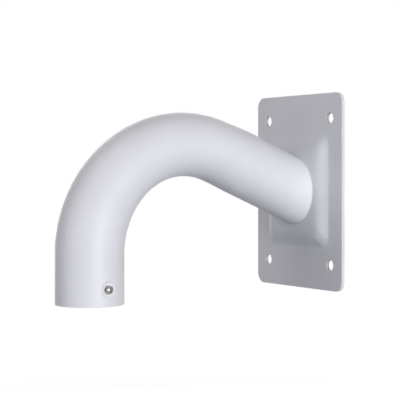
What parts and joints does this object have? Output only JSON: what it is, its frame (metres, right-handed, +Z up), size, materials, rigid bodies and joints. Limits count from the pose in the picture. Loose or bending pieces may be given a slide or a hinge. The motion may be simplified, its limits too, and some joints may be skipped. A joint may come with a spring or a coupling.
{
  "type": "gooseneck camera wall bracket",
  "caption": "Wall bracket for a dome camera: a pressed plate with a raised boss and a bent tube arm that ends in a pipe socket.",
  "frame": {"origin": "centre of the four wall holes, on the plate's back face", "axes": "+Z up, +Y into the wall, the arm reaches out along -Y, +X to the right of someone facing the wall"},
  "size_m": [0.131, 0.2604, 0.188],
  "materials": {
    "white_powder_coat": "satin powder coat over steel",
    "plated_steel": "turned and zinc plated",
    "stainless_steel": "bright stainless"
  },
  "bodies": {
    "root": {"wall_plate": "white_powder_coat", "gooseneck_arm": "white_powder_coat", "arm_weld": "white_powder_coat", "pipe_socket": "plated_steel", "lock_screw": "stainless_steel"}
  },
  "joints": []
}
